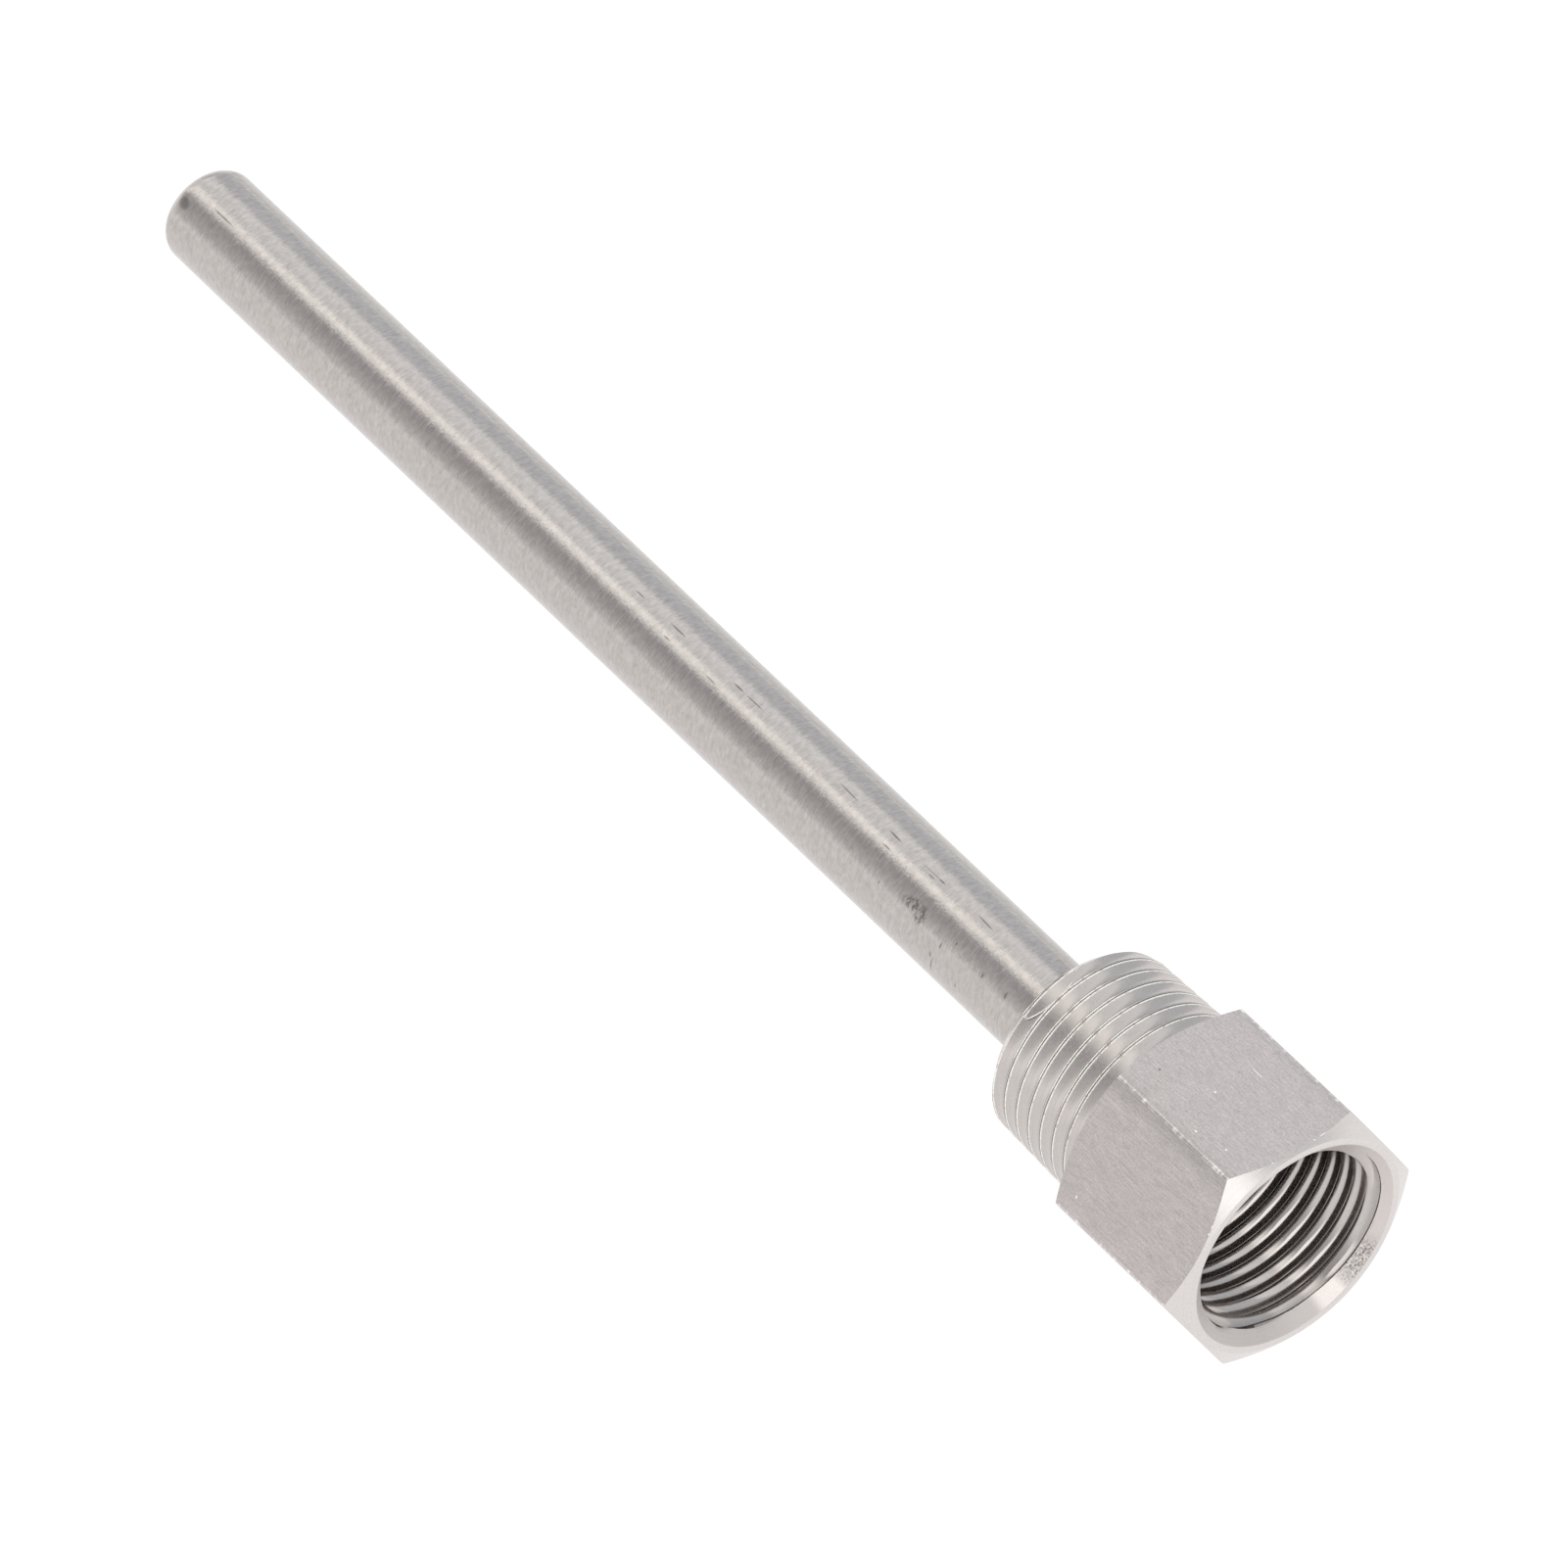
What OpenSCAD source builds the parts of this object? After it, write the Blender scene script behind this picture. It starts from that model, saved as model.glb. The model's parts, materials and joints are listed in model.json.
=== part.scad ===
// Thermowell: a closed protecting tube fixed in a hexagonal fitting.
// The axis of the well lies along X. The origin is on that axis, in the plane of the hexagon's
// shoulder. The mouth of the socket faces +X, the closed tip of the tube points to -X, and two
// flats of the hexagon face up and down. The threads are left to the surface model: here the taper
// thread is the cone over its crests, and the socket is bored to its thread's inner diameter.

/* [Hexagon] */
// Distance across the flats of the hexagon
hex_flats = 24; // [23:0.5:32]
// Length of the hexagon from its shoulder to its mouth
hex_length = 18.1; // [17:0.1:30]
// Slope of the chamfer on the corners at the mouth, in degrees
mouth_chamfer_angle = 30; // [5:1:40]
// Slope of the chamfer on the corners at the shoulder, in degrees
shoulder_chamfer_angle = 30; // [5:1:45]
// How far the round land on both ends of the hexagon stays inside its flats
land_inset = 0.25; // [0.1:0.05:0.8]

/* [Process thread] */
// Diameter over the crests of the taper thread at its small end
thread_small_d = 20.2; // [16:0.1:21]
// Length of the threaded nipple from the shoulder to its nose
thread_length = 14; // [8:0.5:22]
// Growth of the thread's diameter for each unit of length
thread_taper = 0.0625; // [0:0.0025:0.07]
// Width of the chamfer on the nose of the nipple
nose_chamfer = 1; // [0.5:0.1:2]
// Width of the flat ring around the tube on the nose
lip_width = 0.7; // [0.3:0.1:1.5]
// Height of that ring above the nose
lip_height = 0.5; // [0.2:0.1:1]

/* [Socket] */
// Inner diameter of the thread in the socket
socket_d = 18.6; // [14:0.1:19]
// Depth of the socket's straight wall, measured from the mouth
socket_depth = 15; // [10:0.5:15.5]
// Diameter of the countersink at the mouth
countersink_d = 22; // [19.5:0.1:22.4]
// Full angle of the drill point at the socket's bottom, in degrees
drill_angle = 120; // [115:1:150]

/* [Stem] */
// Length of the well from the hexagon's shoulder to the tip
insertion_length = 150; // [50:5:400]
// Outer diameter of the tube
tube_d = 10; // [7:0.5:13]
// Thickness of the tube's wall
tube_wall = 1; // [0.6:0.1:2.5]
// Thickness of the closed end
tip_thickness = 2; // [1:0.5:6]
// Radius of the rounded edge at the tip
tip_round = 1.8; // [0.5:0.1:2.2]
// Width of the bevel at the open end of the bore
bore_bevel = 0.4; // [0.1:0.1:0.5]
// How much the tube's radius is turned down where it is let into the fitting
spigot_step = 0.25; // [0.2:0.05:0.4]
// Gap between the tube and the fitting, all round and at the tube's shoulder
joint_gap = 0.03; // [0.01:0.01:0.1]

/* [Hidden] */
$fn = 96;
// How far a cutting or joining solid runs past the face that it meets
overrun = 1;
hex_corner_r = hex_flats / 2 / cos(30);
land_r = hex_flats / 2 - land_inset;
tube_r = tube_d / 2;
bore_r = tube_r - tube_wall;
socket_r = socket_d / 2;
countersink_r = countersink_d / 2;
spigot_r = tube_r - spigot_step;
seat_r = spigot_r + joint_gap;
thread_small_r = thread_small_d / 2;
thread_large_r = thread_small_r + thread_length * thread_taper / 2;
// The ring around the tube ends here, and the tube's shoulder stops just short of it.
lip_x = -thread_length - lip_height;
shoulder_x = lip_x - joint_gap;
// The socket's bottom runs in at the drill's slope until it meets the bore for the tube.
drill_depth = (socket_r - seat_r) / tan(drill_angle / 2);
seat_x = hex_length - socket_depth - drill_depth;

// Turns an outline drawn as [radius, place along the axis] into a solid around the X axis.
module turned() {
    rotate([0, 90, 0]) rotate_extrude() children();
}

// The hexagon bar, with the corners of both ends turned off.
module hexagon() {
    mouth_drop = (hex_corner_r - land_r) * tan(mouth_chamfer_angle);
    shoulder_drop = (hex_corner_r - land_r) * tan(shoulder_chamfer_angle);
    intersection() {
        rotate([0, 90, 0]) rotate([0, 0, 30]) cylinder(r = hex_corner_r, h = hex_length, $fn = 6);
        turned() polygon([
            [0, 0],
            [land_r, 0],
            [hex_corner_r, shoulder_drop],
            [hex_corner_r, hex_length - mouth_drop],
            [land_r, hex_length],
            [0, hex_length]
        ]);
    }
}

// The nipple that carries the taper thread, with its chamfered nose and the ring around the tube.
module nipple() {
    nose_crest_r = thread_small_r + nose_chamfer * thread_taper / 2;
    turned() polygon([
        [0, lip_x],
        [tube_r + lip_width, lip_x],
        [tube_r + lip_width, -thread_length],
        [thread_small_r - nose_chamfer, -thread_length],
        [nose_crest_r, -thread_length + nose_chamfer],
        [thread_large_r, 0],
        [thread_large_r, overrun],
        [0, overrun]
    ]);
}

// Everything that is bored out of the fitting: the seat of the tube, the socket, the countersink.
module fitting_bores() {
    countersink_depth = countersink_r - socket_r;
    turned() polygon([
        [0, lip_x - overrun],
        [seat_r, lip_x - overrun],
        [seat_r, seat_x],
        [socket_r, seat_x + drill_depth],
        [socket_r, hex_length - countersink_depth],
        [countersink_r, hex_length],
        [countersink_r, hex_length + overrun],
        [0, hex_length + overrun]
    ]);
}

module hex_fitting() {
    color([0.74, 0.71, 0.68])
    difference() {
        union() {
            hexagon();
            nipple();
        }
        fitting_bores();
    }
}

// Half section of the tube: a straight wall, a closed end with a rounded outer edge, and a
// slightly thinner spigot that is let into the fitting.
module tube_section() {
    difference() {
        union() {
            translate([0, tip_round - insertion_length])
                square([tube_r, insertion_length - tip_round + shoulder_x]);
            translate([0, shoulder_x - overrun])
                square([spigot_r, seat_x - shoulder_x + overrun]);
            translate([0, -insertion_length])
                square([tube_r - tip_round, tip_round + overrun]);
            translate([tube_r - tip_round, tip_round - insertion_length])
                circle(r = tip_round);
        }
        translate([0, tip_thickness - insertion_length])
            square([bore_r, insertion_length - tip_thickness + seat_x + overrun]);
        polygon([
            [0, seat_x - bore_bevel],
            [bore_r, seat_x - bore_bevel],
            [bore_r + bore_bevel, seat_x],
            [0, seat_x]
        ]);
    }
}

module stem_tube() {
    color([0.66, 0.64, 0.62])
    turned() tube_section();
}

hex_fitting();
stem_tube();
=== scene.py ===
"""Looks of the thermowell: a satin tube in a turned hexagon fitting, in a white light tent."""

import json
import math

import bmesh
import bpy
from mathutils import Matrix, Vector


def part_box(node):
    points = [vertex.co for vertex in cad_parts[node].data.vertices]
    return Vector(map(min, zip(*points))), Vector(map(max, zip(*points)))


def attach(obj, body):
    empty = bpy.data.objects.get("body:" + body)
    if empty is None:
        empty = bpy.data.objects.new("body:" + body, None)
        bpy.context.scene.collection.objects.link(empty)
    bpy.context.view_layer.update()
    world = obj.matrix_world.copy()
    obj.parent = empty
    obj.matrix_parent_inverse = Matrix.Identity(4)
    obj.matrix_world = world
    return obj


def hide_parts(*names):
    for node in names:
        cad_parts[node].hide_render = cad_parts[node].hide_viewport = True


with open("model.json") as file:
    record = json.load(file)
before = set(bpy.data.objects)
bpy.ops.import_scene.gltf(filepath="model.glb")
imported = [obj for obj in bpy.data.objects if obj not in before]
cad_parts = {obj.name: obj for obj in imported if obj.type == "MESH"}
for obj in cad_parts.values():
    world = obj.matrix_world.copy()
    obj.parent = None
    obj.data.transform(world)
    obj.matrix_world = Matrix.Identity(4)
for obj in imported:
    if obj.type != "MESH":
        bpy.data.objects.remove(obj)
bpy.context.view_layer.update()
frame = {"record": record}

MM = 0.001
FULL_TURN = 2 * math.pi
AXIS = Vector((1, 0, 0))

# ---------------------------------------------------------------- sizes
# These come from the frame's nodes and mounts.
FITTING_LOW, FITTING_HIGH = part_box("hex_fitting")
STEM_LOW, STEM_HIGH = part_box("stem_tube")
MOUNTS = {mount["name"]: mount for mount in frame["record"]["mounts"]}


def mount_radius(name):
    return MOUNTS[name]["dims"]["r_mm"] * MM


MOUTH_X = FITTING_HIGH.x
LIP_X = FITTING_LOW.x
TIP_X = STEM_LOW.x
SEAT_X = STEM_HIGH.x
FLAT_R = FITTING_HIGH.z
TUBE_R = mount_radius("stem")
BORE_R = mount_radius("probe_bore")
SOCKET_R = mount_radius("socket_thread")
NOSE_CREST_R = mount_radius("process_thread")
NOSE_X = -MOUNTS["process_thread"]["dims"]["length_mm"] * MM

# Sizes of the solids that no box or mount gives. The countersink is a little steeper here, and
# the nipple runs a little way into the hexagon.
LAND_R = FLAT_R - 0.25 * MM
MOUTH_CHAMFER = math.radians(30)
SHOULDER_CHAMFER = math.radians(30)
COUNTERSINK_R = 11.0 * MM
COUNTERSINK_SLOPE = 1.15
SOCKET_DEPTH = 15.0 * MM
SPIGOT_STEP = 0.25 * MM
JOINT_GAP = 0.03 * MM
NIPPLE_OVERRUN = 0.05 * MM
LIP_WIDTH = 0.7 * MM
NOSE_CHAMFER = 1.0 * MM
TIP_ROUND = 1.8 * MM
TIP_THICKNESS = 2.0 * MM
BORE_BEVEL = 0.4 * MM

SPIGOT_R = TUBE_R - SPIGOT_STEP
SEAT_R = SPIGOT_R + JOINT_GAP
SOCKET_FLOOR_X = MOUTH_X - SOCKET_DEPTH
COUNTERSINK_X = MOUTH_X - (COUNTERSINK_R - SOCKET_R) / COUNTERSINK_SLOPE

# Both threads are cut at 14 to the inch. A start is where the low edge of a crest crosses the
# plane above +Y.
PITCH = 25.4 * MM / 14
TAPER = 1 / 16
SOCKET_THREAD_START = 0.10 * MM
NIPPLE_THREAD_START = 0.45 * MM

# The socket's thread, as leans from straight outwards: a sharp low edge, a rounded flank and a
# narrow root.
SOCKET_CREST_LEAN = math.radians(24)
SOCKET_FLANK_LEAN = math.radians(60)
SOCKET_BACK_LEAN = math.radians(48)
SOCKET_FLANK_ROUND = 1.2 * MM
SOCKET_ROOT_ROUND = 0.10 * MM
SOCKET_GROOVE = 0.95 * MM
# How much of its depth the last groove keeps, by degrees from +Y over the top.
LAST_GROOVE = (
    (-180, 1.0),
    (-140, 1.0),
    (-112, 0.55),
    (-104, 0.45),
    (-72, 0.44),
    (-26, 0.8),
    (0, 1.0),
    (180, 1.0),
)

# The nipple's thread: a narrow crest with a burr standing up on both edges, then one broad
# hollow.
NIPPLE_CREST = 0.28 * MM
NIPPLE_NEAR_LEAN = math.radians(32)
NIPPLE_FAR_LEAN = math.radians(22)
NIPPLE_BACK_RUN = 0.10 * MM
BURR_WIDTH = 0.16 * MM
BURR_HEIGHT = 0.04 * MM
# The burrs' painted highlight and the painted shade between them, as tone.
BURR_PAINTED_HIGHLIGHT = 1.9
GAP_PAINTED_SHADE = 0.35

# A knocked spot on the first crest, in degrees round the axis and in metres along it.
KNOCK_ANGLE = 113
KNOCK_HALF_WIDTH = 18
KNOCK_X = -11.72 * MM
KNOCK_DEPTH = 1.0 * MM
KNOCK_FLAT = 0.20 * MM
KNOCK_BURR = 0.14 * MM

# The hexagon's long edges are rounded, and its flats fall away a little towards them.
CORNER_ROUND = 0.09 * MM
CROWN_WIDTH = 1.4 * MM
CROWN_DROP = 0.06 * MM
CORNER_R = (FLAT_R - CROWN_DROP) / math.cos(FULL_TURN / 12)

# Steps of a full turn, how near two points count as one, and from which angle an edge is sharp.
ROUND_STEPS = 288
SAME_POINT = 2e-6
SHARP_EDGE = math.radians(28)


# ---------------------------------------------------------------- turning and threading
def polar(vertex):
    """Angle round the axis from +Y towards +Z, and distance from the axis."""
    return math.atan2(vertex.co.z, vertex.co.y), math.hypot(vertex.co.y, vertex.co.z)


def place(vertex, x, angle, radius):
    vertex.co = (x, radius * math.cos(angle), radius * math.sin(angle))


def strand(bm, outline):
    """A row of edges in the plane above +Y, through points given as (x, radius)."""
    verts = [bm.verts.new((x, radius, 0)) for x, radius in outline]
    edges = [bm.edges.new(pair) for pair in zip(verts, verts[1:])]
    return verts + edges


def turned(bm, outline):
    """A closed skin, turned from an outline that starts and ends on the axis."""
    bmesh.ops.spin(
        bm,
        geom=strand(bm, outline),
        axis=AXIS,
        angle=FULL_TURN,
        steps=ROUND_STEPS,
        use_merge=True,
    )
    bmesh.ops.remove_doubles(bm, verts=bm.verts, dist=SAME_POINT)


def evenly(start, end, steps):
    """Numbers from start to end, both ends included."""
    return [start + (end - start) * step / steps for step in range(steps + 1)]


def socket_tooth():
    """One turn of the socket's thread as (x, radius), from the crest's low edge."""
    points = []
    for lean in evenly(SOCKET_CREST_LEAN, SOCKET_FLANK_LEAN, 6):
        x = SOCKET_FLANK_ROUND * (math.sin(lean) - math.sin(SOCKET_CREST_LEAN))
        points.append((x, SOCKET_FLANK_ROUND * (math.cos(SOCKET_CREST_LEAN) - math.cos(lean))))
    flank_x, flank_depth = points[-1]
    foot_depth = SOCKET_GROOVE - SOCKET_ROOT_ROUND * (1 - math.cos(SOCKET_FLANK_LEAN))
    foot_x = flank_x + (foot_depth - flank_depth) / math.tan(SOCKET_FLANK_LEAN)
    points.append(((flank_x + foot_x) / 2, (flank_depth + foot_depth) / 2))
    root_x = foot_x + SOCKET_ROOT_ROUND * math.sin(SOCKET_FLANK_LEAN)
    back_depth = SOCKET_GROOVE - SOCKET_ROOT_ROUND * (1 - math.cos(SOCKET_BACK_LEAN))
    back_x = PITCH - back_depth / math.tan(SOCKET_BACK_LEAN)
    far_root_x = back_x - SOCKET_ROOT_ROUND * math.sin(SOCKET_BACK_LEAN)
    for centre_x, leans in (
        (root_x, evenly(-SOCKET_FLANK_LEAN, 0, 3)),
        (far_root_x, evenly(0, SOCKET_BACK_LEAN, 3)),
    ):
        for lean in leans:
            depth = SOCKET_GROOVE - SOCKET_ROOT_ROUND * (1 - math.cos(lean))
            points.append((centre_x + SOCKET_ROOT_ROUND * math.sin(lean), depth))
    for part in (1 / 3, 2 / 3):
        points.append((back_x + (PITCH - back_x) * part, back_depth * (1 - part)))
    return [(x, SOCKET_R + depth) for x, depth in points]


def nipple_tooth():
    """One turn of the nipple's thread as (x, radius at the nose), from the crest's low edge."""
    burr = [(0, 0), (0.2, 0.6), (0.5, 1), (0.8, 0.6), (1, 0)]
    points = [
        (edge_x + share * BURR_WIDTH, height * BURR_HEIGHT)
        for edge_x in (0, NIPPLE_CREST)
        for share, height in burr
    ]
    hollow_x = NIPPLE_CREST + BURR_WIDTH
    width = PITCH - NIPPLE_BACK_RUN - hollow_x
    hollow_r = width / (math.sin(NIPPLE_NEAR_LEAN) + math.sin(NIPPLE_FAR_LEAN))
    for lean in evenly(NIPPLE_NEAR_LEAN, -NIPPLE_FAR_LEAN, 14)[1:]:
        x = hollow_x + hollow_r * (math.sin(NIPPLE_NEAR_LEAN) - math.sin(lean))
        points.append((x, hollow_r * (math.cos(NIPPLE_NEAR_LEAN) - math.cos(lean))))
    return [(x, NOSE_CREST_R + height) for x, height in points]


def thread_outline(tooth, start_x, turns):
    """The tooth repeated along X, as (x, radius) points of a strand."""
    return [(start_x + turn * PITCH + x, radius) for turn in range(turns) for x, radius in tooth]


def started(low_x, phase):
    """Where a strand begins below low_x so that its crests keep the thread's phase."""
    return phase + PITCH * (math.floor((low_x - phase) / PITCH) - 1)


def threaded_sleeve(bm, outline, low_x, high_x):
    """Winds the outline once round while it moves on by one pitch, then cuts both ends square."""
    bmesh.ops.spin(
        bm,
        geom=strand(bm, outline),
        axis=AXIS,
        dvec=AXIS * (PITCH / ROUND_STEPS),
        angle=FULL_TURN,
        steps=ROUND_STEPS,
    )
    bmesh.ops.remove_doubles(bm, verts=bm.verts, dist=SAME_POINT)
    for cut_x, outward in ((low_x, -AXIS), (high_x, AXIS)):
        geom = bm.verts[:] + bm.edges[:] + bm.faces[:]
        bmesh.ops.bisect_plane(
            bm,
            geom=geom,
            dist=SAME_POINT,
            plane_co=AXIS * cut_x,
            plane_no=outward,
            clear_outer=True,
        )


def rim_at(bm, x):
    """The open edges in the plane at x."""
    return [
        edge
        for edge in bm.edges
        if edge.is_boundary and all(abs(vertex.co.x - x) < SAME_POINT for vertex in edge.verts)
    ]


def even_rim(bm, x):
    """Welds the open rim at x down to one vertex for each step of the turning."""
    step = FULL_TURN / ROUND_STEPS
    at_step = {}
    for vertex in {v for e in rim_at(bm, x) for v in e.verts}:
        angle, _ = polar(vertex)
        nearest = round(angle / step)
        off_step = abs(angle / step - nearest)
        at_step.setdefault(nearest % ROUND_STEPS, []).append((off_step, vertex))
    welds = {}
    for number, found in at_step.items():
        found.sort(key=lambda entry: entry[0])
        keeper = found[0][1]
        place(keeper, x, number * step, polar(keeper)[1])
        welds.update({vertex: keeper for _, vertex in found[1:]})
    bmesh.ops.weld_verts(bm, targetmap=welds)
    return rim_at(bm, x)


def carried_on(bm, rim, station):
    """Extrudes the rim and sets each new vertex where station(angle) says, as (x, radius)."""
    made = bmesh.ops.extrude_edge_only(bm, edges=rim)["geom"]
    for vertex in (item for item in made if isinstance(item, bmesh.types.BMVert)):
        angle, _ = polar(vertex)
        x, radius = station(angle)
        place(vertex, x, angle, radius)
    return [item for item in made if isinstance(item, bmesh.types.BMEdge) and item.is_boundary]


def ring(x, radius):
    return lambda angle: (x, radius)


def hexagon_radius(angle):
    """Distance from the axis to the hexagon's outline, which falls away a little towards the
    corners.
    """
    sixth = FULL_TURN / 6
    from_middle = angle % sixth - sixth / 2
    from_corner = FLAT_R * (math.tan(sixth / 2) - abs(math.tan(from_middle)))
    easing_and_painted_light = max(0, 1 - from_corner / CROWN_WIDTH) ** 2
    return (FLAT_R - CROWN_DROP * easing_and_painted_light) / math.cos(from_middle)


def chamfered(end_x, slope, inward):
    """The edge where the end's corner chamfer meets the flats."""
    return lambda angle: (
        end_x + inward * (hexagon_radius(angle) - LAND_R) * math.tan(slope),
        hexagon_radius(angle),
    )


def finished(name, bm, materials, pick):
    """Turns a bmesh into a shown piece, with a material for each face as pick(face) says."""
    bmesh.ops.recalc_face_normals(bm, faces=bm.faces)
    for face in bm.faces:
        face.smooth = True
        face.material_index = pick(face)
    for edge in bm.edges:
        edge.smooth = not (edge.is_manifold and edge.calc_face_angle(0) > SHARP_EDGE)
    mesh = bpy.data.meshes.new(name)
    bm.to_mesh(mesh)
    bm.free()
    piece = bpy.data.objects.new(name, mesh)
    bpy.context.scene.collection.objects.link(piece)
    for material in materials:
        mesh.materials.append(material)
    even = piece.modifiers.new("even_shading", "WEIGHTED_NORMAL")
    even.keep_sharp = True
    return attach(piece, "root")


# ---------------------------------------------------------------- the pieces
def depth_kept(x, angle):
    """How much of the thread's depth is left: the last groove by the mouth is partly gone."""
    turns = (x - SOCKET_THREAD_START) / PITCH - angle / FULL_TURN
    if turns < round((COUNTERSINK_X - SOCKET_THREAD_START) / PITCH):
        return 1
    degrees = math.degrees(angle)
    for (low, low_share), (high, high_share) in zip(LAST_GROOVE, LAST_GROOVE[1:]):
        if degrees <= high:
            return low_share + (high_share - low_share) * (degrees - low) / (high - low)
    return 1


def countersink_radius(x):
    return COUNTERSINK_R - (MOUTH_X - x) * COUNTERSINK_SLOPE


def make_fitting_body(materials):
    """The hexagon with its chamfered ends, the countersink and the threaded socket."""
    bm = bmesh.new()
    turns = math.ceil(SOCKET_DEPTH / PITCH) + 3
    outline = thread_outline(socket_tooth(), started(SOCKET_FLOOR_X, SOCKET_THREAD_START), turns)
    threaded_sleeve(bm, outline, SOCKET_FLOOR_X, MOUTH_X)
    for vertex in bm.verts:
        angle, radius = polar(vertex)
        cut = SOCKET_R + (radius - SOCKET_R) * depth_kept(vertex.co.x, angle)
        radius = max(cut, countersink_radius(vertex.co.x))
        place(vertex, vertex.co.x, angle, radius)
    rim = even_rim(bm, MOUTH_X)
    for station in (
        ring(MOUTH_X, LAND_R),
        chamfered(MOUTH_X, MOUTH_CHAMFER, -1),
        chamfered(0, SHOULDER_CHAMFER, 1),
        ring(0, LAND_R),
        ring(0, (LAND_R + SEAT_R) / 2),
    ):
        rim = carried_on(bm, rim, station)
    back = rim
    rim = even_rim(bm, SOCKET_FLOOR_X)
    for station in (ring(SEAT_X, SEAT_R), ring(0, SEAT_R)):
        rim = carried_on(bm, rim, station)
    bmesh.ops.bridge_loops(bm, edges=back + rim)
    near_corner = CORNER_R - 0.1 * MM
    corners = [
        edge
        for edge in bm.edges
        if edge.calc_length() > MOUTH_X / 2 and all(polar(v)[1] > near_corner for v in edge.verts)
    ]
    bmesh.ops.bevel(
        bm,
        geom=corners,
        offset=CORNER_ROUND,
        offset_type="OFFSET",
        segments=3,
        profile=0.5,
        affect="EDGES",
        material=-1,
    )

    def pick(face):
        """0 on the flats, 1 on the turned outside and the ends, 2 in the mouth and behind it."""
        middle = face.calc_center_median()
        radius = math.hypot(middle.y, middle.z)
        outside = radius > LAND_R
        if outside and abs(face.normal.x) < 0.05:
            return 0
        return 1 if outside or abs(face.normal.x) > 0.99 else 2

    piece = finished("hex_fitting_body", bm, materials, pick)
    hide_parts("hex_fitting")
    return piece


def torn_nose(x, angle, radius):
    """The first crest's knocked spot: flattened on the side towards the nose."""
    off_middle = (math.degrees(angle) - KNOCK_ANGLE) / KNOCK_HALF_WIDTH
    knock_x = KNOCK_X - KNOCK_DEPTH * off_middle**2
    if abs(off_middle) > 1 or not NOSE_X + NOSE_CHAMFER * 0.6 < x < knock_x:
        return radius
    return NOSE_CREST_R + (x - NOSE_X) * TAPER / 2 - KNOCK_FLAT


def make_nipple(materials):
    """The nipple with its taper thread, chamfered nose and the ring round the tube."""
    bm = bmesh.new()
    turns = math.ceil((NIPPLE_OVERRUN - NOSE_X) / PITCH) + 3
    outline = thread_outline(nipple_tooth(), started(NOSE_X, NIPPLE_THREAD_START), turns)
    threaded_sleeve(bm, outline, NOSE_X, NIPPLE_OVERRUN)
    for vertex in bm.verts:
        angle, radius = polar(vertex)
        along = vertex.co.x - NOSE_X
        nose_here = NOSE_CREST_R - NOSE_CHAMFER + along
        radius = min(radius + along * TAPER / 2, nose_here)
        place(vertex, vertex.co.x, angle, torn_nose(vertex.co.x, angle, radius))
    inner_rim = even_rim(bm, NIPPLE_OVERRUN)
    rim = even_rim(bm, NOSE_X)
    for station in (
        ring(NOSE_X, TUBE_R + LIP_WIDTH),
        ring(LIP_X, TUBE_R + LIP_WIDTH),
        ring(LIP_X, SEAT_R),
        ring(NIPPLE_OVERRUN, SEAT_R),
    ):
        rim = carried_on(bm, rim, station)
    bmesh.ops.bridge_loops(bm, edges=rim + inner_rim)

    piece = finished("hex_fitting_nipple", bm, materials, lambda face: 0)
    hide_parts("hex_fitting")
    return piece


def make_stem(materials):
    """The tube: closed rounded tip, straight wall, thinner spigot in the fitting, open bore."""
    shoulder_x = LIP_X - JOINT_GAP
    round_steps = 10
    wall_steps = 8
    outline = [(TIP_X, 0)]
    for step in range(round_steps + 1):
        turn = math.pi / 2 * step / round_steps
        outline.append(
            (TIP_X + TIP_ROUND * (1 - math.cos(turn)), TUBE_R - TIP_ROUND * (1 - math.sin(turn)))
        )
    straight = shoulder_x - (TIP_X + TIP_ROUND)
    for step in range(1, wall_steps + 1):
        outline.append((TIP_X + TIP_ROUND + straight * step / wall_steps, TUBE_R))
    outline += [
        (shoulder_x, SPIGOT_R),
        (SEAT_X, SPIGOT_R),
        (SEAT_X, BORE_R + BORE_BEVEL),
        (SEAT_X - BORE_BEVEL, BORE_R),
        (TIP_X + TIP_THICKNESS, BORE_R),
        (TIP_X + TIP_THICKNESS, 0),
    ]
    bm = bmesh.new()
    turned(bm, outline)
    piece = finished("stem_tube_skin", bm, materials, lambda face: 0)
    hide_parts("stem_tube")
    return piece


# ---------------------------------------------------------------- materials
def node(tree, kind, inputs=None, **settings):
    """Adds a shader node; each input is given a value or joined to another node's output."""
    made = tree.nodes.new("ShaderNode" + kind)
    for name, value in settings.items():
        setattr(made, name, value)
    for name, value in (inputs or {}).items():
        if isinstance(value, bpy.types.NodeSocket):
            tree.links.new(value, made.inputs[name])
        else:
            made.inputs[name].default_value = value
    return made


def arithmetic(tree, operation, *values):
    made = node(tree, "Math", dict(enumerate(values)), operation=operation)
    return made.outputs[0]


def remapped(tree, value, from_low, from_high, to_low, to_high, smooth=False):
    made = node(
        tree,
        "MapRange",
        {
            "Value": value,
            "From Min": from_low,
            "From Max": from_high,
            "To Min": to_low,
            "To Max": to_high,
        },
        interpolation_type="SMOOTHSTEP" if smooth else "LINEAR",
    )
    return made.outputs["Result"]


def between(tree, value, low, high, edge):
    """1 where the value lies between low and high, fading to 0 over the edge."""
    above = remapped(tree, value, low - edge, low, 0.0, 1.0, smooth=True)
    below = remapped(tree, value, high, high + edge, 1.0, 0.0, smooth=True)
    return arithmetic(tree, "MULTIPLY", above, below)


def sector(tree, angle, low, high, edge):
    """1 where the angle lies between low and high degrees, fading to 0 over the edge."""
    return between(tree, angle, math.radians(low), math.radians(high), math.radians(edge))


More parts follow.
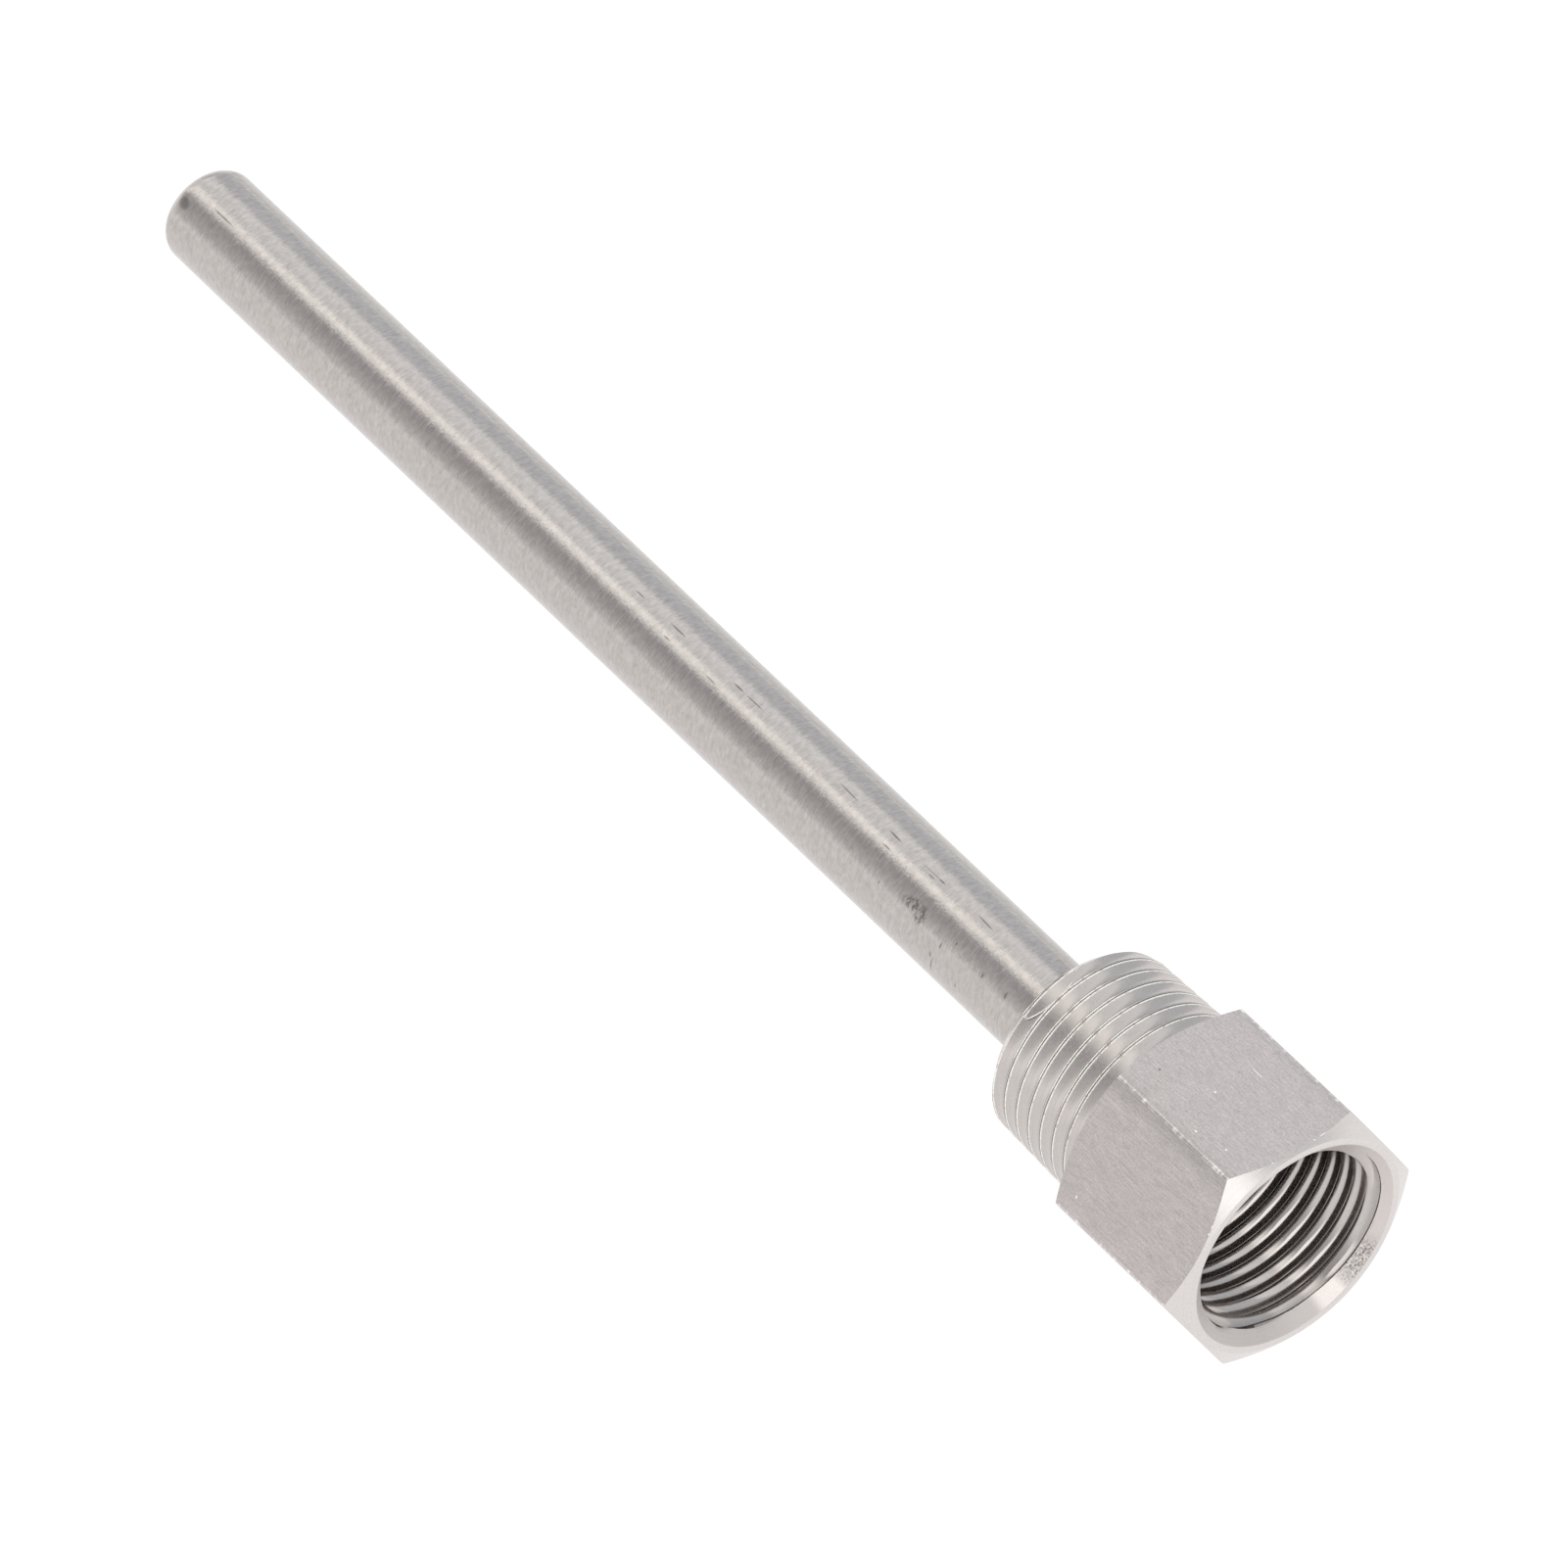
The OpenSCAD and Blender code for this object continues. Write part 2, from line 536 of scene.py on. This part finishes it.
def scaled_where(tree, tone, mask, share):
    """The tone, multiplied by the share where the mask is 1."""
    return arithmetic(tree, "MULTIPLY", tone, remapped(tree, mask, 0.0, 1.0, 1.0, share))


def grain(tree, coords, size, detail=2.0):
    """Noise from 0 to 1, with features of about the given size in millimetres along each axis."""
    mapping = node(
        tree, "Mapping", {"Vector": coords, "Scale": [1 / (length * MM) for length in size]}
    )
    noise = node(
        tree, "TexNoise", {"Vector": mapping.outputs[0], "Scale": 1.0, "Detail": detail}
    )
    return noise.outputs["Fac"]


def round_the_axis(tree, coords):
    """X, the angle from straight up towards -Y, and the distance from the axis."""
    parts = node(tree, "SeparateXYZ", {0: coords}).outputs
    backwards = arithmetic(tree, "MULTIPLY", parts["Y"], -1.0)
    angle = arithmetic(tree, "ARCTAN2", backwards, parts["Z"])
    flat = node(tree, "CombineXYZ", {"Y": parts["Y"], "Z": parts["Z"]}).outputs[0]
    distance = node(tree, "VectorMath", {0: flat}, operation="LENGTH").outputs["Value"]
    return parts["X"], angle, distance


def off_middle_of(tree, coords, **placed):
    """How far a place lies off the middle of a placed and stretched spot: 1 at the spot's rim."""
    mapping = node(tree, "Mapping", {"Vector": coords, **placed}, vector_type="TEXTURE")
    length = node(tree, "VectorMath", {0: mapping.outputs[0]}, operation="LENGTH")
    return length.outputs["Value"]


def marked(tree, unrolled, marks):
    """How strongly each spot is marked, from rows like those of TUBE_MARKS."""
    total = None
    for x, degrees, half_length, half_width, turn, strength in marks:
        around = TUBE_R * math.radians(degrees - 90)
        off = off_middle_of(
            tree,
            unrolled,
            Location=(x * MM, around, 0),
            Rotation=(0, 0, math.radians(turn)),
            Scale=(half_length * MM, half_width * MM, 1),
        )
        spot = remapped(tree, off, 0.5, 1.2, strength, 0.0, smooth=True)
        total = spot if total is None else arithmetic(tree, "MAXIMUM", total, spot)
    return total


def spotted(tree, coords, spots):
    """1 at each spot and 0 away from it, from rows like those of DINGS_WITH_PAINTED_GLINTS."""
    total = None
    for *centre, half_x, half_y, half_z in spots:
        off = off_middle_of(
            tree,
            coords,
            Location=[place_mm * MM for place_mm in centre],
            Scale=(half_x * MM, half_y * MM, half_z * MM),
        )
        spot = remapped(tree, off, 0.6, 1.1, 1.0, 0.0, smooth=True)
        total = spot if total is None else arithmetic(tree, "MAXIMUM", total, spot)
    return total


def steel(name, colour, surface):
    """A bare metal; surface(tree, object coordinates) gives tone, roughness and bump height."""
    material = bpy.data.materials.new(name)
    material.use_nodes = True
    tree = material.node_tree
    shader = tree.nodes["Principled BSDF"]
    coords = node(tree, "TexCoord").outputs["Object"]
    tone, roughness, height, depth = surface(tree, coords)
    tinted = node(tree, "VectorMath", {0: colour, "Scale": tone}, operation="SCALE")
    bump = node(tree, "Bump", {"Strength": 1.0, "Distance": depth * MM, "Height": height})
    shader.inputs["Metallic"].default_value = 1
    tree.links.new(tinted.outputs[0], shader.inputs["Base Color"])
    tree.links.new(roughness, shader.inputs["Roughness"])
    tree.links.new(bump.outputs[0], shader.inputs["Normal"])
    return material


# Drag marks and nicks on the tube, and its stain. A row gives x in millimetres, the angle in
# degrees from +Y over the top, half the length and half the width, the turn, and the strength.
TUBE_MARKS = (
    (-79.0, 97, 0.7, 0.08, 0, 0.8),
    (-73.1, 97, 1.2, 0.09, 0, 0.9),
    (-63.8, 97, 0.8, 0.09, 0, 1.0),
    (-61.4, 97, 1.3, 0.08, 0, 0.8),
    (-47.0, 97, 1.5, 0.08, 2, 0.8),
    (-40.0, 97, 1.0, 0.09, 2, 1.0),
    (-34.2, 98, 1.6, 0.06, 0, 0.6),
    (-32.9, 98, 0.5, 0.11, 0, 0.8),
    (-26.4, 98, 1.2, 0.08, 3, 0.9),
    (-39.7, 112, 0.7, 0.09, 0, 0.8),
    (-66.5, 112, 0.8, 0.11, 0, 0.6),
    (-73.2, 112, 0.5, 0.09, 0, 0.7),
    (-34.0, 102, 0.5, 0.12, 0, 0.6),
    (-28.9, 178, 0.12, 0.90, 6, 0.7),
    (-29.2, 166, 0.10, 0.35, -15, 0.8),
    (-28.4, 149, 0.10, 0.35, 0, 0.9),
    (-25.3, 175, 0.15, 0.30, 0, 0.6),
    (-22.7, 141, 0.08, 0.30, 0, 0.9),
    (-27.0, 135, 0.12, 0.18, 0, 0.7),
    (-19.4, 139, 0.15, 0.40, -10, 0.6),
    (-37.9, 145, 0.10, 0.18, 0, 0.7),
    (-148.0, 130, 0.8, 0.60, 20, 0.6),
    (-143.5, 112, 1.6, 0.12, 0, 0.7),
)
STAIN = ((-33.2, 136, 1.7, 0.65, -10, 1.0), (-32.0, 140, 0.8, 0.9, 0, 1.0))


def satin_tube(tree, coords):
    """Ground round and round, with a pebbled skin, and painted shade towards either side."""
    x, angle, _ = round_the_axis(tree, coords)
    around = arithmetic(tree, "MULTIPLY", angle, TUBE_R)
    unrolled = node(tree, "CombineXYZ", {"X": x, "Y": around}).outputs[0]
    strokes = grain(tree, coords, (0.10, 1.1, 1.1), 3.0)
    pebble = grain(tree, coords, (0.16, 0.30, 0.30), 2.0)
    mottle = grain(tree, coords, (0.45, 0.7, 0.7), 2.0)
    marks = marked(tree, unrolled, TUBE_MARKS)
    stain = marked(tree, unrolled, STAIN)
    patchy = remapped(tree, grain(tree, coords, (0.25, 0.5, 0.5)), 0.42, 0.55, 0.0, 0.85)
    dark = arithmetic(tree, "MAXIMUM", marks, arithmetic(tree, "MULTIPLY", stain, patchy))
    ground = remapped(tree, arithmetic(tree, "ADD", mottle, strokes), 0.6, 1.4, 0.82, 1.18)
    # Painted shade: the tube's tone is made darker on its far side and on its near side.
    far_side_painted_shade = sector(tree, angle, -80, -32, 4)
    near_side_painted_shade = sector(tree, angle, 62, 130, 6)
    ground = scaled_where(tree, ground, far_side_painted_shade, 0.78)
    ground = scaled_where(tree, ground, near_side_painted_shade, 0.91)
    tone = scaled_where(tree, ground, dark, 0.35)
    roughness = remapped(tree, strokes, 0.35, 0.65, 0.09, 0.24)
    return tone, roughness, arithmetic(tree, "ADD", strokes, pebble), 0.018


# Dings and edge burrs on the hexagon, painted bright as glints, and a pit. A row gives x, y and
# z, and then the half sizes along them, in millimetres.
DINGS_WITH_PAINTED_GLINTS = (
    (7.9, -1.25, 12.0, 0.14, 0.14, 0.2),
    (10.65, -5.55, 12.0, 0.20, 0.10, 0.2),
    (14.05, -4.8, 12.0, 0.12, 0.12, 0.2),
    (3.0, -12.87, 1.71, 0.14, 0.2, 0.14),
    (8.3, 3.15, 12.0, 0.90, 0.05, 0.2),
    (17.71, 3.24, 12.0, 0.10, 0.40, 0.15),
    (17.75, 2.2, 12.0, 0.08, 0.15, 0.10),
    (17.80, -2.54, 12.0, 0.08, 0.18, 0.10),
    (17.82, -9.20, 8.06, 0.10, 0.20, 0.30),
    (17.80, -9.60, 7.40, 0.08, 0.12, 0.15),
)
DARK_SPOTS = ((2.75, -3.5, 12.0, 0.16, 0.12, 0.2),)


def drawn_flats(tree, coords):
    """Fine lines along the bar; painted glints on its long edges and dings; painted shade on one
    flat.
    """
    lines = grain(tree, coords, (1.6, 0.12, 0.12), 3.0)
    fine = grain(tree, coords, (0.17, 0.14, 0.14), 2.0)
    height = arithmetic(tree, "ADD", lines, fine)
    cloudy = grain(tree, coords, (2.5, 1.5, 1.5), 3.0)
    plain = remapped(tree, arithmetic(tree, "ADD", fine, lines), 0.65, 1.35, 0.76, 1.24)
    plain = arithmetic(tree, "MULTIPLY", plain, remapped(tree, cloudy, 0.3, 0.7, 0.97, 1.03))
    _, angle, distance = round_the_axis(tree, coords)
    # Painted glints: patches of light along the rounded corner edges.
    edge = remapped(tree, distance, CORNER_R - 0.12 * MM, CORNER_R - 0.06 * MM, 0.0, 1.0)
    glints = remapped(tree, grain(tree, coords, (0.5, 1.5, 1.5), 3.0), 0.50, 0.66, 0.18, 1.0)
    bright = arithmetic(tree, "MULTIPLY", edge, glints)
    # The dings and burrs get a painted glint.
    bright = arithmetic(tree, "MAXIMUM", bright, spotted(tree, coords, DINGS_WITH_PAINTED_GLINTS))
    dark = spotted(tree, coords, DARK_SPOTS)
    # Painted shade: the flat between 30 and 90 degrees is darker, and darker still along its
    # corner.
    side_flat_painted_shade = sector(tree, angle, 30, 90, 0.5)
    corner_band_painted_shade = sector(tree, angle, 30, 33, 5)
    plain = scaled_where(tree, plain, side_flat_painted_shade, 0.925)
    plain = scaled_where(tree, plain, corner_band_painted_shade, 0.89)
    tone = arithmetic(tree, "ADD", plain, arithmetic(tree, "MULTIPLY", bright, 0.8))
    tone = arithmetic(tree, "SUBTRACT", tone, arithmetic(tree, "MULTIPLY", dark, 0.6))
    roughness = remapped(tree, lines, 0.35, 0.65, 0.28, 0.36)
    return tone, roughness, height, 0.0030


def turned_faces(tree, coords):
    """Fine rings from the lathe, with a thin line of painted shade where the countersink begins.
    """
    x, _, distance = round_the_axis(tree, coords)
    rings = node(tree, "CombineXYZ", {"X": distance, "Y": x}).outputs[0]
    lines = grain(tree, rings, (0.09, 0.09, 1.0), 3.0)
    fine = grain(tree, coords, (0.25, 0.25, 0.25), 3.0)
    tone = remapped(tree, arithmetic(tree, "ADD", fine, lines), 0.7, 1.3, 0.95, 1.05)
    # Painted shade: a thin dark line on the face just outside the countersink's edge, where no
    # groove is cut.
    groove = between(
        tree, distance, COUNTERSINK_R - 0.01 * MM, COUNTERSINK_R + 0.03 * MM, 0.04 * MM
    )
    tone = scaled_where(tree, tone, groove, 0.72)
    roughness = remapped(tree, lines, 0.35, 0.65, 0.22, 0.32)
    return tone, roughness, lines, 0.0003


# Zones of painted light and shade on the countersink: from and to in degrees from straight up
# towards -Y, the width of the edges, and how much the zone lifts the tone.
COUNTERSINK_PAINTED_LIGHT_AND_SHADE = (
    (-159, -150, 7, 0.46),
    (-136, -124, 8, -0.10),
    (90, 180, 25, 0.10),
    (-220, -180, 25, 0.10),
    (-110, -50, 20, 0.14),
)


def countersunk_mouth(tree, coords):
    """Rough from the cutter, with painted light and shade in zones; beside the brightest, a zone
    torn by chatter.
    """
    _, angle, distance = round_the_axis(tree, coords)
    rings = node(tree, "CombineXYZ", {"X": distance}).outputs[0]
    lines = grain(tree, rings, (0.10, 1.0, 1.0), 2.0)
    fine = grain(tree, coords, (0.25, 0.25, 0.25), 3.0)
    chatter = grain(tree, coords, (0.22, 0.22, 0.22), 2.0)
    tone = remapped(tree, arithmetic(tree, "ADD", fine, lines), 0.7, 1.3, 1.00, 1.14)
    # Painted light and shade: each zone raises the tone, and lowers it where the lift is below 0.
    for low, high, edge, lift in COUNTERSINK_PAINTED_LIGHT_AND_SHADE:
        zone = sector(tree, angle, low, high, edge)
        tone = arithmetic(tree, "ADD", tone, arithmetic(tree, "MULTIPLY", zone, lift))
    torn = sector(tree, angle, -140, -126, 9)
    torn = arithmetic(tree, "MULTIPLY", torn, remapped(tree, fine, 0.40, 0.60, 0.2, 1.0))
    flecks = remapped(tree, chatter, 0.38, 0.62, -0.62, 0.42)
    tone = arithmetic(tree, "ADD", tone, arithmetic(tree, "MULTIPLY", torn, flecks))
    roughness = remapped(tree, fine, 0.35, 0.65, 0.50, 0.58)
    return tone, roughness, lines, 0.0008


def thread_lay(tree, coords, start_x):
    """How far across the thread's turn a spot is, its angle, and coordinates along the thread."""
    x, angle, _ = round_the_axis(tree, coords)
    turns = arithmetic(tree, "MULTIPLY", angle, 1 / FULL_TURN)
    top_start = start_x + PITCH / 4
    pitches = arithmetic(tree, "MULTIPLY", arithmetic(tree, "SUBTRACT", x, top_start), 1 / PITCH)
    phase = arithmetic(tree, "FRACT", arithmetic(tree, "SUBTRACT", pitches, turns))
    across = arithmetic(tree, "MULTIPLY", phase, PITCH)
    parts = node(tree, "SeparateXYZ", {0: coords}).outputs
    lay = node(tree, "CombineXYZ", {"X": across, "Y": parts["Y"], "Z": parts["Z"]}).outputs[0]
    return across, angle, lay


def socket_thread(tree, coords):
    """Smoothly cut, with painted shade far down in the groove and along the top of the bore."""
    across, angle, lay = thread_lay(tree, coords, SOCKET_THREAD_START)
    lines = grain(tree, lay, (0.07, 2.5, 2.5), 2.0)
    fine = grain(tree, coords, (0.3, 0.3, 0.3), 3.0)
    tone = remapped(tree, arithmetic(tree, "ADD", fine, lines), 0.7, 1.3, 0.93, 1.05)
    # Painted shade along the top of the socket and far down in each turn of the groove.
    roof_painted_shade = sector(tree, angle, -65, 10, 20)
    tone = scaled_where(tree, tone, roof_painted_shade, 0.78)
    deep_painted_shade = remapped(tree, across, 0.25 * MM, 0.80 * MM, 1.0, 0.72, smooth=True)
    tone = arithmetic(tree, "MULTIPLY", tone, deep_painted_shade)
    roughness = remapped(tree, fine, 0.35, 0.65, 0.14, 0.20)
    return tone, roughness, lines, 0.0008


def bored_mouth(tree, coords):
    """The socket's thread, and the countersink wherever the wall lies on its cone."""
    x, _, distance = round_the_axis(tree, coords)
    cone = arithmetic(
        tree, "MULTIPLY_ADD", x, COUNTERSINK_SLOPE, COUNTERSINK_R - MOUTH_X * COUNTERSINK_SLOPE
    )
    off_cone = arithmetic(tree, "SUBTRACT", distance, cone)
    on_cone = remapped(tree, off_cone, 0.01 * MM, 0.06 * MM, 1.0, 0.0, smooth=True)
    *thread, depth = socket_thread(tree, coords)
    *countersink, _ = countersunk_mouth(tree, coords)
    mixed = [
        arithmetic(
            tree, "MULTIPLY_ADD", arithmetic(tree, "SUBTRACT", there, here), on_cone, here
        )
        for here, there in zip(thread, countersink)
    ]
    return *mixed, depth


def nipple_thread(tree, coords):
    """Smoothly cut; painted highlights on the crest's burrs and round the knocked spot, painted
    shade beside them.
    """
    across, angle, lay = thread_lay(tree, coords, NIPPLE_THREAD_START)
    x = node(tree, "SeparateXYZ", {0: coords}).outputs["X"]
    lines = grain(tree, lay, (0.08, 2.5, 2.5), 2.0)
    fine = grain(tree, coords, (0.25, 0.25, 0.25), 3.0)
    patchy = grain(tree, lay, (0.5, 0.6, 0.6), 1.0)
    plain = remapped(tree, arithmetic(tree, "ADD", fine, lines), 0.7, 1.3, 0.94, 1.05)
    # Painted highlight on the burrs; the low burr is painted bright only between 4 and 57
    # degrees.
    high_burr = between(tree, across, NIPPLE_CREST, NIPPLE_CREST + BURR_WIDTH, 0.01 * MM)
    low_burr = between(tree, across, 0.01 * MM, BURR_WIDTH - 0.01 * MM, 0.01 * MM)
    low_burr_painted_highlight = sector(tree, angle, 4, 57, 5)
    burrs = arithmetic(
        tree, "MAXIMUM", high_burr, arithmetic(tree, "MULTIPLY", low_burr, low_burr_painted_highlight)
    )
    from_middle = arithmetic(tree, "SUBTRACT", angle, math.radians(KNOCK_ANGLE - 90))
    off_middle = arithmetic(tree, "MULTIPLY", from_middle, 1 / math.radians(KNOCK_HALF_WIDTH))
    bend = arithmetic(tree, "MULTIPLY", arithmetic(tree, "POWER", off_middle, 2.0), KNOCK_DEPTH)
    from_knock = arithmetic(tree, "ADD", arithmetic(tree, "SUBTRACT", x, KNOCK_X), bend)
    knocked = between(tree, off_middle, -0.6, 0.95, 0.1)
    # Painted highlight along the knocked spot's burr, and painted shadow just beyond it.
    knock_burr = arithmetic(
        tree, "MULTIPLY", knocked, between(tree, from_knock, 0.0, KNOCK_BURR, 0.03 * MM)
    )
    knock_shade = arithmetic(
        tree,
        "MULTIPLY",
        knocked,
        between(tree, from_knock, KNOCK_BURR, KNOCK_BURR + 0.12 * MM, 0.03 * MM),
    )
    burrs = arithmetic(tree, "MAXIMUM", burrs, knock_burr)
    # Painted shade on the crest between its burrs, and beside the knocked spot's burr.
    painted_gap_shade = between(tree, across, BURR_WIDTH, NIPPLE_CREST - 0.01 * MM, 0.01 * MM)
    painted_gap_shade = arithmetic(tree, "MAXIMUM", painted_gap_shade, knock_shade)
    # Painted light: the thread is a little brighter between 42 and 60 degrees.
    easing_and_painted_light = sector(tree, angle, 42, 60, 10)
    plain = scaled_where(tree, plain, easing_and_painted_light, 1.12)
    bright = remapped(tree, patchy, 0.30, 0.45, 1.4, BURR_PAINTED_HIGHLIGHT)
    tone = scaled_where(tree, plain, painted_gap_shade, GAP_PAINTED_SHADE)
    tone = arithmetic(
        tree,
        "ADD",
        arithmetic(tree, "MULTIPLY", tone, arithmetic(tree, "SUBTRACT", 1.0, burrs)),
        arithmetic(tree, "MULTIPLY", bright, burrs),
    )
    smooth = remapped(tree, fine, 0.35, 0.65, 0.20, 0.30)
    roughness = arithmetic(tree, "MAXIMUM", smooth, arithmetic(tree, "MULTIPLY", burrs, 0.8))
    return tone, roughness, lines, 0.0012


STEEL = (0.56, 0.52, 0.50)
SATIN = steel("satin_ground_tube", STEEL, satin_tube)
FLATS = steel("drawn_hexagon_flats", (0.565, 0.52, 0.508), drawn_flats)
TURNED = steel("turned_end_faces", (0.70, 0.66, 0.64), turned_faces)
BORED = steel("bored_and_threaded_mouth", STEEL, bored_mouth)
NIPPLE_CUT = steel("cut_nipple_thread", STEEL, nipple_thread)

make_stem([SATIN])
make_fitting_body([FLATS, TURNED, BORED])
make_nipple([NIPPLE_CUT])


# ---------------------------------------------------------------- floor, light tent and camera
TABLE_HALF = 3.0
TABLE_SHADE = (0.12, 0.12, 0.12, 1)
TABLE_GLOW = 0.95


def make_floor():
    """A lit white table that the well lies on: the hexagon's shoulder and the tip touch it."""
    touch_x = (FLAT_R - LAND_R) * math.tan(SHOULDER_CHAMFER)
    slope = math.atan((FLAT_R - TUBE_R) / (touch_x - TIP_X - TIP_ROUND))
    bm = bmesh.new()
    bmesh.ops.create_grid(bm, x_segments=1, y_segments=1, size=TABLE_HALF)
    tipped = Matrix.Translation((touch_x, 0, -FLAT_R)) @ Matrix.Rotation(slope, 4, "Y")
    bmesh.ops.transform(bm, matrix=tipped, verts=bm.verts)
    mesh = bpy.data.meshes.new("floor")
    bm.to_mesh(mesh)
    bm.free()
    floor = bpy.data.objects.new("floor", mesh)
    bpy.context.scene.collection.objects.link(floor)
    white = bpy.data.materials.new("lit_table")
    white.use_nodes = True
    shader = white.node_tree.nodes["Principled BSDF"]
    shader.inputs["Base Color"].default_value = TABLE_SHADE
    shader.inputs["Roughness"].default_value = 1
    shader.inputs["Specular IOR Level"].default_value = 0
    shader.inputs["Emission Color"].default_value = (1, 1, 1, 1)
    shader.inputs["Emission Strength"].default_value = TABLE_GLOW
    mesh.materials.append(white)


# The tent's light at each angle round the well's axis, in degrees from +Y over the top.
TENT = (
    (-180, (1.00, 1.00, 1.00)),
    (-17, (0.95, 0.95, 0.95)),
    (-3, (0.70, 0.73, 0.76)),
    (50, (0.70, 0.73, 0.76)),
    (52, (1.10, 1.12, 1.13)),
    (89, (0.88, 0.90, 0.90)),
    (92, (1.28, 1.28, 1.25)),
    (98, (1.40, 1.39, 1.35)),
    (104, (1.28, 1.28, 1.25)),
    (110, (1.00, 1.00, 0.98)),
    (115, (0.75, 0.75, 0.75)),
    (120, (0.49, 0.49, 0.50)),
    (132, (0.49, 0.49, 0.50)),
    (143, (0.57, 0.57, 0.57)),
    (155, (0.65, 0.65, 0.65)),
    (161, (0.72, 0.72, 0.72)),
    (167, (0.82, 0.82, 0.82)),
    (173, (1.00, 1.00, 1.00)),
    (180, (1.00, 1.00, 1.00)),
)
# A bright screen stands in front of the mouth, between these bearings and heights in degrees.
SCREEN_BEARING = (-33, 3)
SCREEN_HEIGHT = (-4, 31)
SCREEN_LIGHT = 1.75
SCREEN_EDGE = 3.0


def make_tent():
    """Light from all round, in bands along the well, and a bright screen before its mouth."""
    world = bpy.data.worlds.new("light_tent")
    bpy.context.scene.world = world
    world.use_nodes = True
    tree = world.node_tree
    direction = node(tree, "TexCoord").outputs["Generated"]
    parts = node(tree, "SeparateXYZ", {0: direction}).outputs
    angle = arithmetic(tree, "ARCTAN2", parts["Z"], parts["Y"])
    share = remapped(tree, angle, -math.pi, math.pi, 0.0, 1.0)
    ramp = node(tree, "ValToRGB", {"Fac": share})
    stops = ramp.color_ramp.elements
    while len(stops) > 1:
        stops.remove(stops[0])
    stops[0].position = 0
    for number, (degrees, light) in enumerate(TENT):
        stop = stops[0] if number == 0 else stops.new((degrees + 180) / 360)
        stop.color = (*light, 1)
    bearing = arithmetic(tree, "ARCTAN2", parts["Y"], parts["X"])
    height = arithmetic(tree, "ARCSINE", parts["Z"])
    edge = math.radians(SCREEN_EDGE)
    across = between(tree, bearing, *(math.radians(limit) for limit in SCREEN_BEARING), edge)
    upright = between(tree, height, *(math.radians(limit) for limit in SCREEN_HEIGHT), edge)
    screen = arithmetic(tree, "MULTIPLY", across, upright)
    lit = node(tree, "Mix", data_type="RGBA")
    for socket, value in zip((lit.inputs[0], lit.inputs[6]), (screen, ramp.outputs["Color"])):
        tree.links.new(value, socket)
    lit.inputs[7].default_value = (SCREEN_LIGHT, SCREEN_LIGHT, SCREEN_LIGHT, 1)
    tree.links.new(lit.outputs[2], tree.nodes["Background"].inputs["Color"])


# The camera's bearing, height and roll in degrees, its lens in millimetres, and in metres the
# point it looks at, its distance from there, and how far it is moved right and up.
CAMERA_BEARING = 53.58
CAMERA_HEIGHT = 45.25
CAMERA_ROLL = -0.344
CAMERA_LENS = 374.57
CAMERA_AIM = Vector((-0.070, 0, 0))
CAMERA_DISTANCE = 1.4964
CAMERA_SHIFT = (0.0073027, -0.0090738)


def make_camera():
    """A long lens, looking down on the well from in front of its mouth."""
    bearing, height, roll = (
        math.radians(turn) for turn in (CAMERA_BEARING, CAMERA_HEIGHT, CAMERA_ROLL)
    )
    back = Vector(
        (
            math.sin(bearing) * math.cos(height),
            -math.cos(bearing) * math.cos(height),
            math.sin(height),
        )
    )
    right = Vector((math.cos(bearing), math.sin(bearing), 0))
    up = back.cross(right)
    turned_right = math.cos(roll) * right + math.sin(roll) * up
    turned_up = math.cos(roll) * up - math.sin(roll) * right
    shift_right, shift_up = CAMERA_SHIFT
    place_at = CAMERA_AIM + back * CAMERA_DISTANCE
    place_at += turned_right * shift_right + turned_up * shift_up
    camera = bpy.data.objects.new("camera", bpy.data.cameras.new("camera"))
    bpy.context.scene.collection.objects.link(camera)
    camera.data.sensor_width = 36
    camera.data.lens = CAMERA_LENS
    camera.data.clip_start = 0.05
    camera.data.clip_end = 20
    camera.matrix_world = Matrix(
        (
            (turned_right.x, turned_up.x, back.x, place_at.x),
            (turned_right.y, turned_up.y, back.y, place_at.y),
            (turned_right.z, turned_up.z, back.z, place_at.z),
            (0, 0, 0, 1),
        )
    )
    bpy.context.scene.camera = camera


make_floor()
make_tent()
make_camera()
bpy.context.scene.view_settings.view_transform = "Standard"
